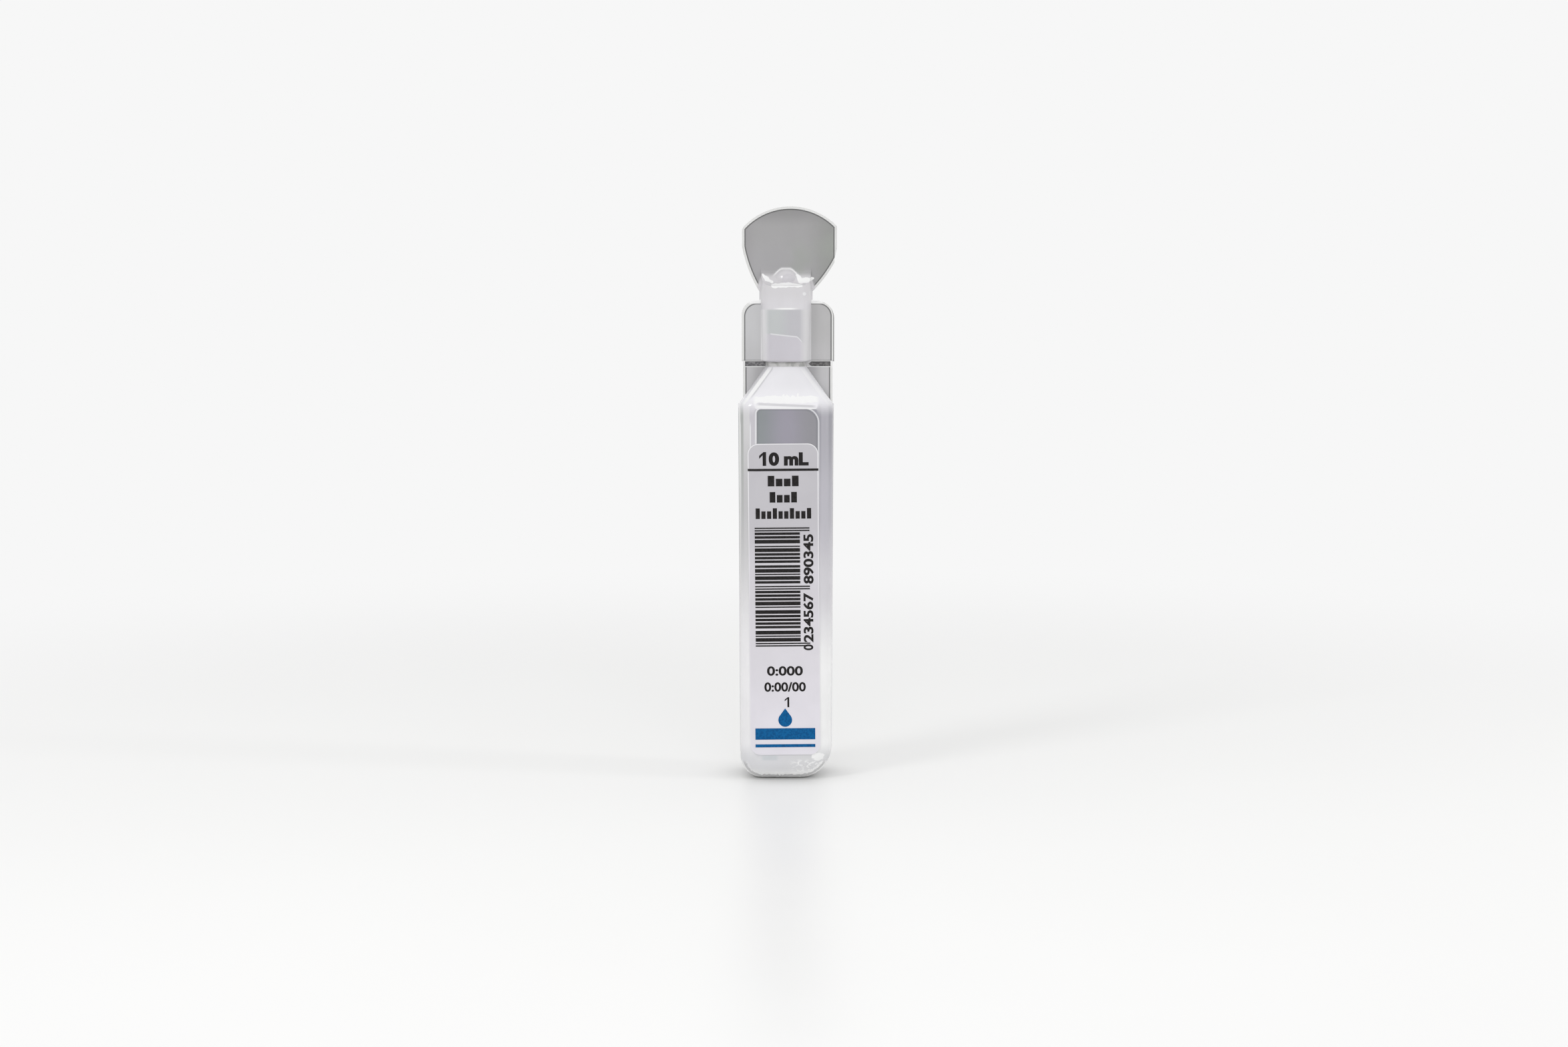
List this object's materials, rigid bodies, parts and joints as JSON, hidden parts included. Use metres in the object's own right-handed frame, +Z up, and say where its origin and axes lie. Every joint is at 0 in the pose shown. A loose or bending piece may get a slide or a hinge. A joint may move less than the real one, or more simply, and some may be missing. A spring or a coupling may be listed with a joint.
{
  "type": "plastic ampoule",
  "caption": "Sealed square plastic ampoule of clear water with a label, a thin neck, a winged round cap and a flat twist-off tab.",
  "frame": {"origin": "centre of the ampoule's base, on the surface it stands on", "axes": "+Z up from the foot to the tab, -Y out of the labelled front, +X to the right seen from the front"},
  "size_m": [0.0165, 0.0134, 0.0956],
  "materials": {
    "ampoule": "translucent natural polyethylene with a soft gloss",
    "water": "clear water",
    "label": "satin white film",
    "ink_black": "flat black print",
    "ink_blue": "flat blue print"
  },
  "bodies": {
    "root": {"ampoule": "ampoule", "water": "water", "label": "label", "ink_black": "ink_black", "ink_blue": "ink_blue"}
  },
  "joints": []
}
